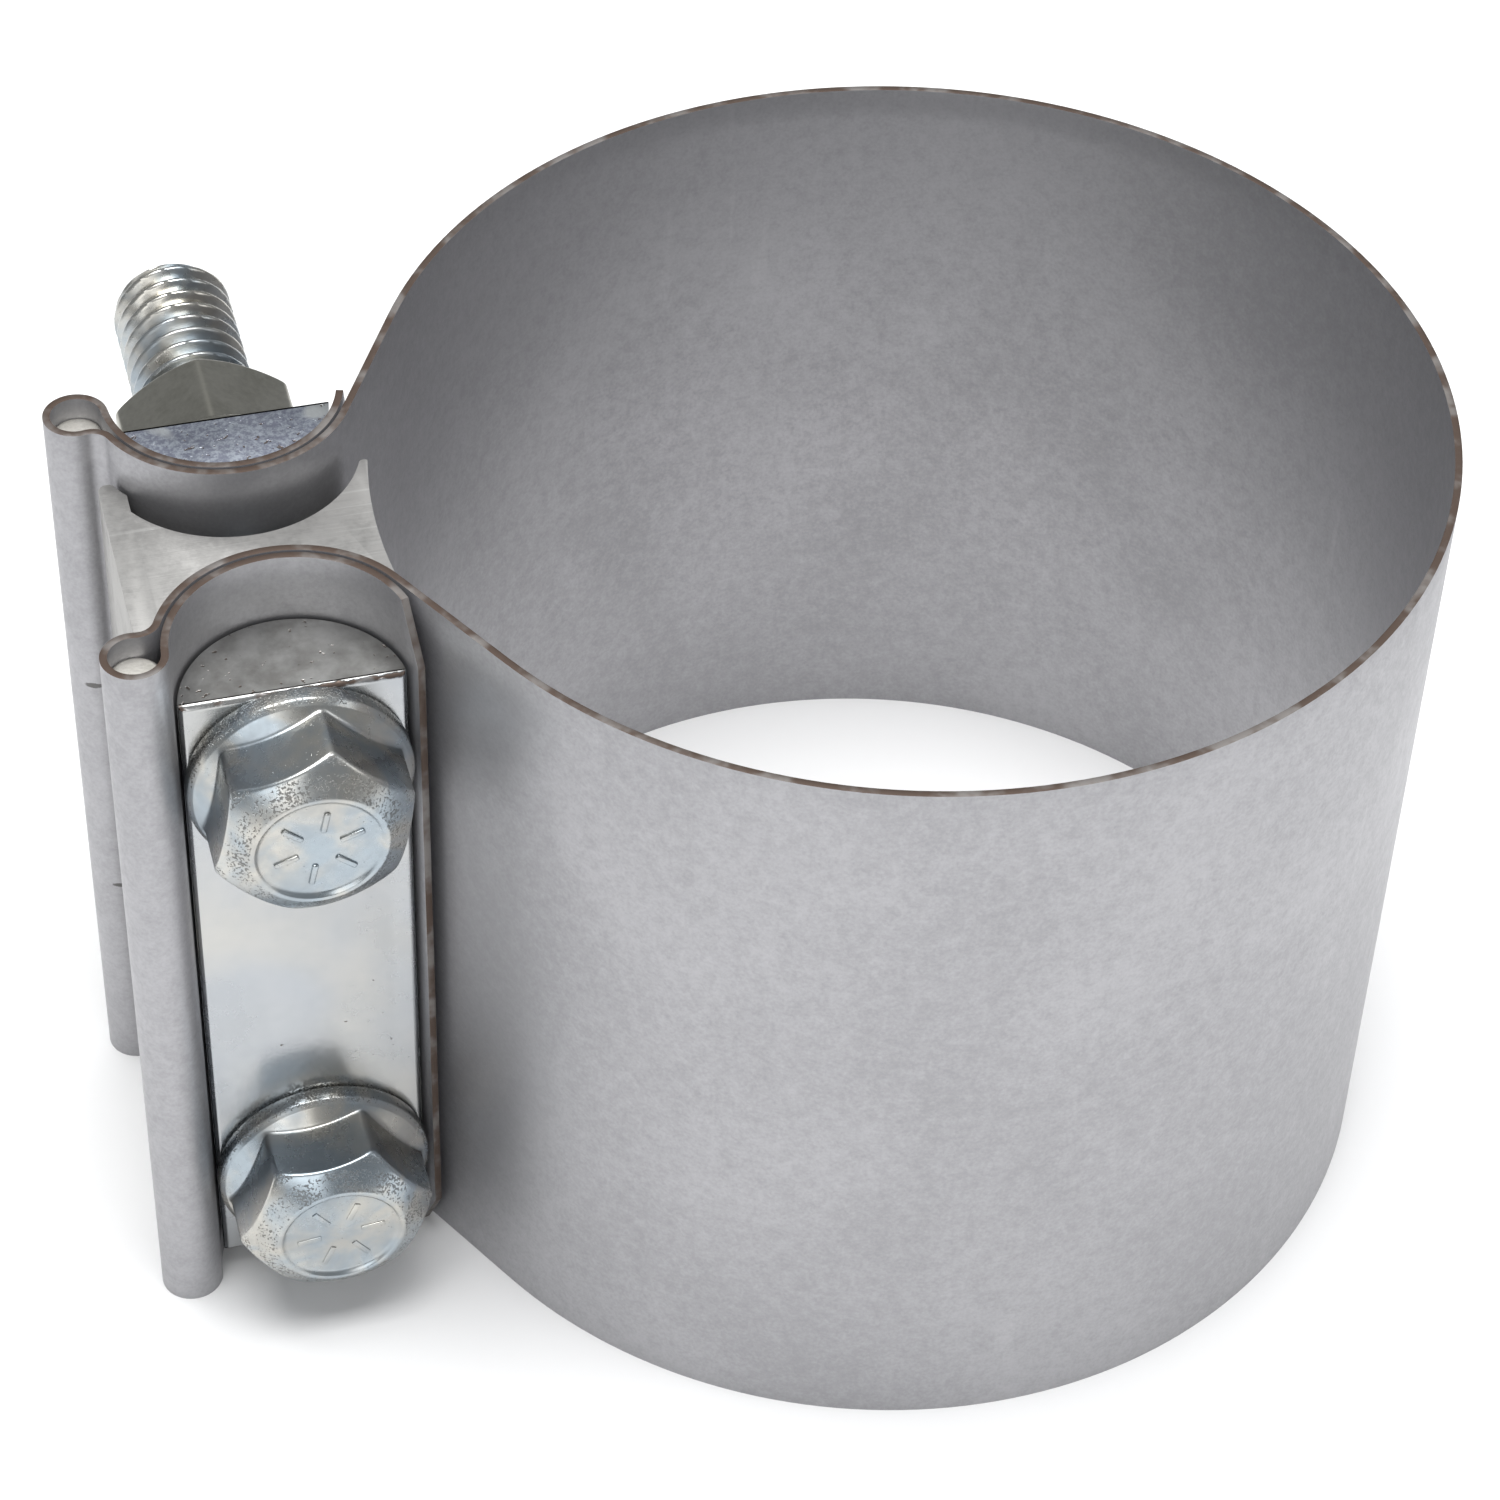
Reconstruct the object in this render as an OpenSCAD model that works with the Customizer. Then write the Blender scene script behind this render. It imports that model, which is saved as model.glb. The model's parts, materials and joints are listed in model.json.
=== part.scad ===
// Preformed band clamp for a round pipe: a sheet band whose two ends fold back over humped
// flanges, half-round clamp bars in the humps, a spacer between them and two flange-head bolts.
// Origin: pipe axis at mid width. +Z along the pipe, flanges toward -X, bolts along Y.

/* [Pipe and band] */
// Outside diameter of the pipe being clamped
pipe_d = 101.6; // [98:0.1:106]
// Width of the band along the pipe
band_w = 86; // [78:1:100]
// Thickness of the band sheet
sheet_t = 0.7; // [0.6:0.05:0.8]

/* [Flange humps] */
// Distance from the pipe axis to the hump axes
hump_x = 62.5; // [62:0.1:64]
// Distance of each hump axis from the middle of the gap
hump_y = 17.8; // [17.5:0.1:19]
// Outside radius of the hump
hump_r = 12.5; // [12.2:0.1:12.8]
// Gap between the two layers of the folded flange
layer_gap = 0.3; // [0.2:0.05:0.4]
// Clearance hole in the humps for each bolt
hump_hole_d = 15; // [14:0.5:16]

/* [Rolled loops] */
// Diameter of the rod rolled into each loop
rod_d = 4.7; // [4:0.1:5]
// Distance the rods stop short of the band edges
rod_inset = 2.2; // [0.5:0.1:6]
// Direction of the loop seen from the hump axis
loop_a = 184; // [182:1:186]
// Inside bend radius of the neck between loop and hump
neck_r = 1.65; // [1.4:0.05:2.5]

/* [Folded lip] */
// Angle before the hump's widest point where the lip starts
lip_a = 15; // [10:1:20]
// Length of the straight lip
lip_l = 3; // [2:0.5:4]
// Height of the cut-off lip corners
lip_cut = 6; // [3:0.5:10]

/* [Clamp bars] */
// Length of each half-round bar
bar_l = 76; // [72:1:84]
// Thickness from the round side to the flat
bar_t = 9.6; // [8.5:0.1:10]
// Clearance of a seated bar in its hump
bar_fit = 0.3; // [0.2:0.05:0.5]
// Distance the rear bar stands off its seat while the nuts are loose
bar_loose = 3; // [0.5:0.5:3]
// Clearance hole in the bars for each bolt
bar_hole_d = 15.4; // [15.2:0.2:15.8]

/* [Spacer] */
// Length of the spacer
spacer_l = 78; // [72:1:84]
// Thickness of the web between the two hollows
spacer_web = 4.4; // [3.6:0.2:5]
// Radius of the two hollows
hollow_r = 12.3; // [11.8:0.1:12.6]
// Outer face, measured from the pipe axis
spacer_x = 75.4; // [75:0.1:76]
// Width of the outer ears
ear_w = 2.5; // [2:0.1:3]
// Half height of the outer ears
ear_y = 12.2; // [11:0.1:12.4]
// Half height of the inner horns
horn_y = 10.4; // [9:0.1:10.6]
// Clearance between spacer and humps
spacer_fit = 0.35; // [0.3:0.05:0.6]

/* [Bolts and nuts] */
// Thread diameter
bolt_d = 12; // [11:0.5:12.5]
// Length under the head
bolt_l = 70; // [62:1:80]
// Length of the threaded end
thread_l = 40; // [30:1:45]
// Thread pitch
pitch = 2; // [1.25:0.25:2.5]
// Distance between the two bolts
bolt_spacing = 54; // [44:1:56]
// Across flats of heads and nuts
hex_af = 17; // [16:0.5:18]
// Diameter of the round flange on heads and nuts
flange_d = 21; // [20.6:0.1:23]
// Full height of the head
head_h = 10.6; // [9:0.1:12]
// Full height of the nut
nut_h = 13; // [10:0.5:13]
// Diameter of the shallow dish in the head
dish_d = 12.2; // [10:0.1:13]
// Turn of the upper head about its own axis
head_turn_upper = 78; // [0:1:120]
// Turn of the lower head about its own axis
head_turn_lower = 66; // [0:1:120]
// Turn of both nuts
nut_turn = 88; // [0:1:120]

/* [How the loose hardware hangs] */
// Distance the front bar hangs below mid width
bar_drop = 2.2; // [2:0.05:2.2]
// Distance the spacer hangs below mid width
spacer_drop = 1; // [0.8:0.1:1.4]
// Distance the bolts and nuts hang below mid width
bolt_drop = 1.1; // [1.05:0.05:1.15]

/* [Hidden] */
$fn = 96;
eps = 0.01;
thin = 0.01;
lap = 0.12;
run_gap = 0.05;
half_w = band_w / 2;
bolt_z = bolt_spacing / 2;
ring_ri = pipe_d / 2;
ring_rm = ring_ri + sheet_t / 2;
seam_a = asin(run_gap / ring_rm);
hump_rm = hump_r - sheet_t / 2;
span = norm([hump_x, hump_y]);
tangent_sum = ring_rm + hump_rm;
run_l = sqrt(span * span - tangent_sum * tangent_sum);
ring_end_a = atan2(hump_y, -hump_x) - acos(tangent_sum / span);
hump_end_a = ring_end_a + 180;
fold_ro = hump_r - sheet_t - layer_gap;
fold_ri = fold_ro - sheet_t;
loop_ri = rod_d / 2;
loop_rm = loop_ri + sheet_t / 2;
loop_off = fold_ri + sheet_t / 2 + loop_rm;
loop_x = -hump_x + loop_off * cos(loop_a);
loop_y = hump_y + loop_off * sin(loop_a);
neck_rm = neck_r + sheet_t / 2;
neck_d = hump_rm + neck_rm;
neck_e = loop_rm + neck_rm;
neck_along = (neck_d * neck_d - neck_e * neck_e + loop_off * loop_off) / (2 * loop_off);
neck_a = loop_a + acos(neck_along / neck_d);
neck_x = -hump_x + neck_d * cos(neck_a);
neck_y = hump_y + neck_d * sin(neck_a);
neck_end_a = atan2(loop_y - neck_y, loop_x - neck_x);
bar_r = fold_ri - bar_fit;
flat_front = hump_y - bar_r + bar_t;
flat_rear = flat_front + bar_loose;
hollow_y = spacer_web / 2 + hollow_r;
spacer_ri = ring_ri + 0.4;
spacer_hole_d = bolt_d + 1.5;
flange_t = 1.6;
cone_h = 1.3;
cone_r = hex_af / 2 + 0.4;
hex_r = hex_af / 2 / cos(30);
chamfer_r = hex_af / 2 * 0.9;
chamfer_h = 2.2;
chamfer_out = 0.5;
chamfer_low = chamfer_h * (1 + chamfer_out / (hex_r - chamfer_r));
dish_depth = 0.4;
mark_h = 0.15;
mark_in = 2;
mark_l = 2.4;
mark_w = 0.6;
thread_n = floor(thread_l / pitch) - 1;
thread_depth = 0.61 * pitch;
tip_cut = 1.2;
bore_fit = 0.05;

// one cylindrical bend of the band sheet; a joining piece is a hair thinner and narrower than
// its neighbours and laps into them
module bend(x, y, r, from, to, thin = 0, lap_from = 0, lap_to = 0) {
  a = from - lap_from / r * 180 / PI;
  b = to + lap_to / r * 180 / PI;
  translate([x, y, thin - half_w])
    rotate_extrude(angle = b - a, start = a)
      translate([r + thin, 0])
        square([sheet_t - 2 * thin, band_w - 2 * thin]);
}

// cylinder along Y at both bolt heights
module bolt_holes(d, y, len, drop = 0) {
  for (z = [-bolt_z, bolt_z])
    translate([-hump_x, y, z - drop])
      rotate([-90, 0, 0])
        cylinder(h = len, d = d);
}

// straight end of the fold with its two corners cut off
module lip() {
  w = half_w - thin;
  translate([-hump_x, hump_y, 0])
    rotate(-lip_a)
      translate([fold_ri + thin, 0, 0])
        rotate([90, 0, 90])
          linear_extrude(sheet_t - 2 * thin)
            polygon([[-lap, -w], [0, -w], [lip_l, lip_cut - w],
                     [lip_l, w - lip_cut], [0, w], [-lap, w]]);
}

// straight run from the ring to the hump
module run() {
  rotate(ring_end_a)
    translate([ring_ri + thin, -lap, thin - half_w])
      cube([sheet_t - 2 * thin, run_l + 2 * lap, band_w - 2 * thin]);
}

module band_half() {
  difference() {
    union() {
      bend(0, 0, ring_ri, seam_a, ring_end_a);
      run();
      bend(-hump_x, hump_y, hump_r - sheet_t, neck_a, hump_end_a);
      bend(neck_x, neck_y, neck_r, neck_a - 180, neck_end_a, 2 * thin, lap, lap);
      bend(loop_x, loop_y, loop_ri, loop_a - 180, neck_end_a + 180, thin, lap, 0);
      bend(-hump_x, hump_y, fold_ri, loop_a, 360 - lip_a);
      lip();
    }
    bolt_holes(hump_hole_d, eps, hump_y);
  }
}

module rod() {
  translate([loop_x, loop_y, rod_inset - half_w])
    cylinder(h = band_w - 2 * rod_inset, d = rod_d);
}

// half-round bar, round side toward -Y, its round axis at the origin
module clamp_bar() {
  difference() {
    translate([0, 0, -bar_l / 2])
      cylinder(h = bar_l, r = bar_r);
    translate([-bar_r - 1, bar_t - bar_r, -bar_l / 2 - 1])
      cube([2 * bar_r + 2, 2 * bar_r, bar_l + 2]);
    for (z = [-bolt_z, bolt_z])
      translate([0, -bar_r - 1, z])
        rotate([-90, 0, 0])
          cylinder(h = 2 * bar_r, d = bar_hole_d);
  }
}

module spacer_half() {
  difference() {
    union() {
      translate([-spacer_x, 0])
        square([ear_w, ear_y]);
      translate([ear_w - spacer_x - eps, 0])
        square([spacer_x - ear_w - ring_ri + 3, horn_y]);
    }
    intersection() {
      translate([-hump_x, hollow_y])
        circle(r = hollow_r);
      translate([ear_w - spacer_x, 0])
        square([2 * hollow_r, 2 * hollow_r]);
    }
    translate([-hump_x, hump_y])
      circle(r = hump_r + spacer_fit);
    circle(r = spacer_ri);
  }
}

// round collar with a cone up to the hexagon, bearing face at z = 0
module collar() {
  rotate_extrude()
    polygon([[0, 0], [flange_d / 2 - 0.3, 0], [flange_d / 2, 0.3], [flange_d / 2, flange_t],
             [cone_r, flange_t + cone_h], [0, flange_t + cone_h]]);
}

// hexagon rising out of the collar with its far end chamfered
module hex_body(h, turn) {
  intersection() {
    rotate(turn)
      translate([0, 0, flange_t / 2])
        cylinder(h = h - flange_t / 2, r = hex_r, $fn = 6);
    rotate_extrude()
      polygon([[0, 0], [hex_r + chamfer_out, 0], [hex_r + chamfer_out, h - chamfer_low],
               [chamfer_r, h], [0, h]]);
  }
}

// six raised lines in the dish of the head
module marks(turn) {
  for (i = [0:5])
    rotate(turn + 60 * i)
      translate([mark_in, -mark_w / 2, head_h - dish_depth - mark_h])
        cube([mark_l, mark_w, 2 * mark_h]);
}

module head(turn) {
  difference() {
    union() {
      collar();
      hex_body(head_h, turn);
    }
    translate([0, 0, head_h - dish_depth])
      cylinder(h = 1, d = dish_d);
  }
  marks(turn);
}

// shank with its threaded end
module shank() {
  rotate_extrude()
    polygon(concat(
      [[0, -eps], [bolt_d / 2, -eps]],
      [for (i = [0:thread_n - 1]) for (k = [0, 1, 2, 3])
        [bolt_d / 2 - [0, thread_depth, thread_depth, 0][k],
         bolt_l - thread_l + pitch * (i + [0.05, 0.45, 0.55, 0.95][k])]],
      [[bolt_d / 2, bolt_l - tip_cut], [bolt_d / 2 - tip_cut, bolt_l], [0, bolt_l]]));
}

// whole bolt along +Y, bearing face at y = 0
module bolt(turn) {
  rotate([90, 0, 0])
    head(turn);
  rotate([-90, 0, 0])
    shank();
}

// flange nut along +Y, bearing face at y = 0
module nut(turn) {
  rotate([-90, 0, 0])
    difference() {
      union() {
        collar();
        hex_body(nut_h, turn);
      }
      translate([0, 0, -1])
        cylinder(h = nut_h + 2, d = bolt_d + 2 * bore_fit);
    }
}

module band_front() {
  color("#a9aaad")
    rotate([180, 0, 0])
      band_half();
}

module band_rear() {
  color("#a9aaad")
    band_half();
}

module rod_front() {
  color("#c4c2ba")
    rotate([180, 0, 0])
      rod();
}

module rod_rear() {
  color("#c4c2ba")
    rod();
}

module bar_front() {
  color("#bcc6cc")
    translate([-hump_x, -hump_y, -bar_drop])
      rotate([180, 0, 0])
        clamp_bar();
}

module bar_rear() {
  color("#bcc6cc")
    translate([-hump_x, hump_y + bar_loose, 0])
      clamp_bar();
}

module spacer() {
  color("#a6a8a6")
    difference() {
      translate([0, 0, -spacer_l / 2 - spacer_drop])
        linear_extrude(spacer_l)
          union() {
            spacer_half();
            mirror([0, 1])
              spacer_half();
          }
      bolt_holes(spacer_hole_d, -hump_y, 2 * hump_y, spacer_drop);
    }
}

module bolt_upper() {
  color("#c3c8c8")
    translate([-hump_x, -flat_front - run_gap, bolt_z - bolt_drop])
      bolt(head_turn_upper);
}

module bolt_lower() {
  color("#c3c8c8")
    translate([-hump_x, -flat_front - run_gap, -bolt_z - bolt_drop])
      bolt(head_turn_lower);
}

module nut_upper() {
  color("#8a8a7c")
    translate([-hump_x, flat_rear + run_gap, bolt_z - bolt_drop])
      nut(nut_turn);
}

module nut_lower() {
  color("#8a8a7c")
    translate([-hump_x, flat_rear + run_gap, -bolt_z - bolt_drop])
      nut(nut_turn);
}

band_front();
band_rear();
rod_front();
rod_rear();
bar_front();
bar_rear();
spacer();
bolt_upper();
bolt_lower();
nut_upper();
nut_lower();
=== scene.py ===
import bmesh
import bpy
import json
import math
from mathutils import Matrix, Vector


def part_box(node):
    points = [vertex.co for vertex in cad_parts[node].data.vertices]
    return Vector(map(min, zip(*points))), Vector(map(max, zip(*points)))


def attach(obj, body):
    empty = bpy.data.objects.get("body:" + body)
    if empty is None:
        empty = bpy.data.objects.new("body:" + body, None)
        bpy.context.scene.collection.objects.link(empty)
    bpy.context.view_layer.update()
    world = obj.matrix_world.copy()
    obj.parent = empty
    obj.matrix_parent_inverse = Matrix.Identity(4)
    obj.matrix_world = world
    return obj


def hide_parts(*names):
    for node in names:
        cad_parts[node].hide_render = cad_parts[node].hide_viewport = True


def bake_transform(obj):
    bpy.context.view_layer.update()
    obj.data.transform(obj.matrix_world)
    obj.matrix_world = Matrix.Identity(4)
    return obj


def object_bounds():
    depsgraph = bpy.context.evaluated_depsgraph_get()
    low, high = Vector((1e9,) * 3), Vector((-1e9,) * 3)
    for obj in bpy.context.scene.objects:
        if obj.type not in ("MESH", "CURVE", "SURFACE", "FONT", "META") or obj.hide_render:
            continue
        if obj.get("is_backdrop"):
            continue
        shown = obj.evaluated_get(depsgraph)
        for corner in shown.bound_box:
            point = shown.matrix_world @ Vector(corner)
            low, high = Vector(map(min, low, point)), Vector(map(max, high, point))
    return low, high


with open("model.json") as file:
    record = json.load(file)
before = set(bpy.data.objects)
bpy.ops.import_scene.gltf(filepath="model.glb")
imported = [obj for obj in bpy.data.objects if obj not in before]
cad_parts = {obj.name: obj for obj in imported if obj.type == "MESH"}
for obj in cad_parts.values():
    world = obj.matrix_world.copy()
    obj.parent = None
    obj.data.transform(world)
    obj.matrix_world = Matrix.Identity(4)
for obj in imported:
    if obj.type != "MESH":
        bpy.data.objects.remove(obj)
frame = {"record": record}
cadLow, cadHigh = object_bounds()
record = frame["record"]
mm = 0.001
boltHeight = 27 * mm      # of the two bolt holes, above and below the middle of each piece


# helpers for working in edit mode

near = 0.01 * mm      # places closer than this count as the same


def leaveEdit():
    if bpy.context.object and bpy.context.object.mode == "EDIT":
        bpy.ops.object.mode_set(mode="OBJECT")


def selectNone():
    leaveEdit()
    bpy.ops.object.select_all(action="DESELECT")


def only(piece):
    selectNone()
    piece.select_set(True)
    bpy.context.view_layer.objects.active = piece


def editAll(piece):
    only(piece)
    bpy.ops.object.mode_set(mode="EDIT")
    bpy.ops.mesh.select_all(action="SELECT")


def startPoint(name, place):
    # a single vertex in edit mode, ready to be extruded
    selectNone()
    bpy.ops.mesh.primitive_plane_add(size=mm, location=(0, 0, 0))
    piece = bpy.context.object
    piece.name = name
    bpy.ops.object.mode_set(mode="EDIT")
    bpy.ops.mesh.select_mode(type="VERT")
    bpy.ops.mesh.select_all(action="SELECT")
    bpy.ops.mesh.merge(type="CENTER")
    bpy.ops.transform.translate(value=place)
    return piece


def extrudeBy(step, times=1):
    for _ in range(times):
        bpy.ops.mesh.extrude_region_move(TRANSFORM_OT_translate={"value": Vector(step) / times})


def turnBy(degrees, steps, centre, axis=(0, 0, 1)):
    # anticlockwise about the axis; the far end stays selected
    bpy.ops.mesh.spin(steps=steps, angle=-math.radians(degrees), center=centre, axis=axis)


def pickVertices(test):
    mesh = bmesh.from_edit_mesh(bpy.context.object.data)
    for vertex in mesh.verts:
        vertex.select = bool(test(vertex.co))
    mesh.select_mode = {"VERT"}
    mesh.select_flush(True)
    mesh.select_flush(False)
    bmesh.update_edit_mesh(bpy.context.object.data)


def pickEdges(test):
    mesh = bmesh.from_edit_mesh(bpy.context.object.data)
    for edge in mesh.edges:
        edge.select = test(edge.verts[0].co, edge.verts[1].co)
    mesh.select_flush_mode()
    bmesh.update_edit_mesh(bpy.context.object.data)


def modify(piece, kind, **settings):
    only(piece)
    modifier = piece.modifiers.new(kind.title(), kind)
    for key, value in settings.items():
        setattr(modifier, key, value)
    bpy.ops.object.modifier_apply(modifier=modifier.name)


def roundEdges(piece, width, segments, above):
    # only edges sharper than this angle in degrees
    modify(piece, "BEVEL", width=width, segments=segments, limit_method="ANGLE",
           angle_limit=math.radians(above))


def cutWith(piece, cutters, operation="DIFFERENCE"):
    for cutter in cutters:
        modify(piece, "BOOLEAN", operation=operation, solver="EXACT", object=cutter)
        bpy.data.objects.remove(cutter)


def cleanUp(piece, outside=None):
    # doubles merged, normals outwards; outside tells whether a single sheet's front faces out
    editAll(piece)
    bpy.ops.mesh.remove_doubles(threshold=0.002 * mm)
    bpy.ops.mesh.normals_make_consistent(inside=False)
    leaveEdit()
    if outside and not outside(piece.data):
        editAll(piece)
        bpy.ops.mesh.flip_normals()
        leaveEdit()


def smoothBy(piece, degrees):
    only(piece)
    bpy.ops.object.shade_smooth_by_angle(angle=math.radians(degrees))


def copyOf(piece, name):
    twin = piece.copy()
    twin.data = piece.data.copy()
    twin.name = name
    bpy.context.scene.collection.objects.link(twin)
    return twin


def rodAlongY(radius, low, high, x, z):
    selectNone()
    bpy.ops.mesh.primitive_cylinder_add(vertices=72, radius=radius, depth=high - low,
                                        location=(x, (low + high) / 2, z), rotation=(math.pi / 2, 0, 0))
    rod = bpy.context.object
    bpy.ops.object.transform_apply(location=True, rotation=True, scale=True)
    return rod


def boltHoles(radius, low, high, x, middle=0.0):
    # cutters for the two bolt holes, at equal heights above and below the middle
    return [rodAlongY(radius, low, high, x, middle + z) for z in (-boltHeight, boltHeight)]


def direction(degrees):
    return Vector((math.cos(math.radians(degrees)), math.sin(math.radians(degrees)), 0))


def smoothMin(a, b, soft):
    h = max(soft - abs(a - b), 0) / soft
    return min(a, b) - h * h * soft / 4


def smoothMax(a, b, soft):
    return -smoothMin(-a, -b, soft)


# materials

def addNode(tree, kind, inputs=None, **settings):
    made = tree.nodes.new(kind)
    for key, value in settings.items():
        setattr(made, key, value)
    for key, value in (inputs or {}).items():
        if isinstance(value, bpy.types.NodeSocket):
            tree.links.new(value, made.inputs[key])
        else:
            made.inputs[key].default_value = value
    return made


def remap(tree, value, low, high, newLow=0.0, newHigh=1.0, smooth=True):
    return addNode(tree, "ShaderNodeMapRange",
                   {"Value": value, "From Min": low, "From Max": high, "To Min": newLow, "To Max": newHigh},
                   interpolation_type="SMOOTHSTEP" if smooth else "LINEAR").outputs["Result"]


def calc(tree, operation, first, second=0.0):
    return addNode(tree, "ShaderNodeMath", {0: first, 1: second}, operation=operation).outputs[0]


def linear(tree, value, atZero, atOne):
    return remap(tree, value, 0.0, 1.0, atZero, atOne, False)


def times(tree, first, second):
    return calc(tree, "MULTIPLY", first, second)


def mixColour(tree, factor, first, second):
    made = addNode(tree, "ShaderNodeMix", {0: factor}, data_type="RGBA")
    for index, value in ((6, first), (7, second)):
        if isinstance(value, bpy.types.NodeSocket):
            tree.links.new(value, made.inputs[index])
        else:
            made.inputs[index].default_value = (*value, 1)
    return made.outputs[2]


def noise(tree, where, scale, detail=3.0, roughness=0.55, distortion=0.0):
    return addNode(tree, "ShaderNodeTexNoise",
                   {"Vector": where, "Scale": scale, "Detail": detail, "Roughness": roughness,
                    "Distortion": distortion}).outputs["Fac"]


def newGroup(name, inputs, outputs):
    tree = bpy.data.node_groups.new(name, "ShaderNodeTree")
    for title, kind, value in inputs:
        socket = tree.interface.new_socket(title, in_out="INPUT", socket_type=kind)
        if value is not None:
            socket.default_value = value
    for title in outputs:
        tree.interface.new_socket(title, in_out="OUTPUT", socket_type="NodeSocketFloat")
    return tree, tree.nodes.new("NodeGroupInput").outputs, tree.nodes.new("NodeGroupOutput").inputs


def makeGrainGroup():
    # fine even speckle over slow clouds
    tree, given, result = newGroup("metalGrain", [("Place", "NodeSocketVector", None),
                                                  ("Grain", "NodeSocketFloat", 1500.0),
                                                  ("Cloud", "NodeSocketFloat", 60.0),
                                                  ("Cloud Share", "NodeSocketFloat", 0.35)],
                                   ["Tone", "Height"])
    fine = noise(tree, given["Place"], given["Grain"], 3.0, 0.65)
    coarse = noise(tree, given["Place"], times(tree, given["Grain"], 0.28), 2.0, 0.5)
    cloud = noise(tree, given["Place"], given["Cloud"], 3.0, 0.55, 0.4)
    speckle = calc(tree, "ADD", times(tree, fine, 0.6), times(tree, coarse, 0.4))
    tone = addNode(tree, "ShaderNodeMix", {0: given["Cloud Share"], 2: speckle, 3: cloud}, data_type="FLOAT")
    tree.links.new(remap(tree, tone.outputs[0], 0.32, 0.68), result["Tone"])
    tree.links.new(fine, result["Height"])
    return tree


def makePitGroup():
    # small dark pits that gather in patches
    tree, given, result = newGroup("smallPits", [("Place", "NodeSocketVector", None),
                                                 ("Scale", "NodeSocketFloat", 1400.0),
                                                 ("Patch Scale", "NodeSocketFloat", 160.0),
                                                 ("Amount", "NodeSocketFloat", 0.5)], ["Mask"])
    dots = noise(tree, given["Place"], given["Scale"], 2.0, 0.5, 0.3)
    patches = noise(tree, given["Place"], given["Patch Scale"], 2.0, 0.5)
    level = calc(tree, "ADD", dots, times(tree, patches, 0.45))
    threshold = calc(tree, "SUBTRACT", 1.08, times(tree, given["Amount"], 0.36))
    over = calc(tree, "SUBTRACT", level, threshold)
    tree.links.new(remap(tree, over, 0.0, 0.05), result["Mask"])
    return tree


def makeScratchGroup():
    # thin lines along the stretched direction of Place
    tree, given, result = newGroup("fineScratches", [("Place", "NodeSocketVector", None),
                                                     ("Scale", "NodeSocketFloat", 1.0)],
                                   ["Mask", "Height"])
    lines = noise(tree, given["Place"], given["Scale"], 4.0, 0.7)
    rare = noise(tree, given["Place"], times(tree, given["Scale"], 0.37), 2.0, 0.6)
    tree.links.new(remap(tree, rare, 0.58, 0.7), result["Mask"])
    tree.links.new(lines, result["Height"])
    return tree


grainGroup = makeGrainGroup()
pitGroup = makePitGroup()
scratchGroup = makeScratchGroup()


def useGroup(tree, group, **inputs):
    made = tree.nodes.new("ShaderNodeGroup")
    made.node_tree = group
    for key, value in inputs.items():
        socket = made.inputs[key.replace("_", " ")]
        if isinstance(value, bpy.types.NodeSocket):
            tree.links.new(value, socket)
        else:
            socket.default_value = value
    return made.outputs


def newMetal(name, metallic=1.0):
    material = bpy.data.materials.new(name)
    material.use_nodes = True
    tree = material.node_tree
    shader = tree.nodes["Principled BSDF"]
    shader.inputs["Metallic"].default_value = metallic
    where = tree.nodes.new("ShaderNodeTexCoord").outputs["Object"]
    return material, tree, shader, where


def setSurface(tree, shader, colour, roughness, height, depth, strength=1.0):
    bump = addNode(tree, "ShaderNodeBump", {"Height": height, "Distance": depth, "Strength": strength})
    tree.links.new(colour, shader.inputs["Base Color"])
    tree.links.new(roughness, shader.inputs["Roughness"])
    tree.links.new(bump.outputs["Normal"], shader.inputs["Normal"])


sheetLook = {
    "dark": (0.345, 0.343, 0.356),
    "light": (0.425, 0.422, 0.438),
    "metallic": 0.85,
    "smooth": 0.42,
    "rough": 0.54,
    "grain": 2600.0,
    "cloud": 30.0,
    "depth": 0.012 * mm,
    "scuff": (0.7, 0.7, 0.71),
    "scuffStrength": 0.13,
    "scuffStretch": (900.0, 900.0, 60.0),
    "scuffTurn": (0.3, 0.2, 0.4),
    "scuffPatches": 34.0,
    "nick": (0.08, 0.075, 0.07),
    "nickStrength": 0.8,
    "nickRagged": 0.6 * mm,
    "nickFade": 0.3 * mm,
    "nickSqueeze": Vector((1, 1, 3)),      # a nick is a third as long along Z
    "nicks": [((-77.4 * mm, 14.0 * mm, 11.2 * mm), 1.1 * mm),
              ((-76.9 * mm, 13.9 * mm, -16.8 * mm), 0.9 * mm)],
}


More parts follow.
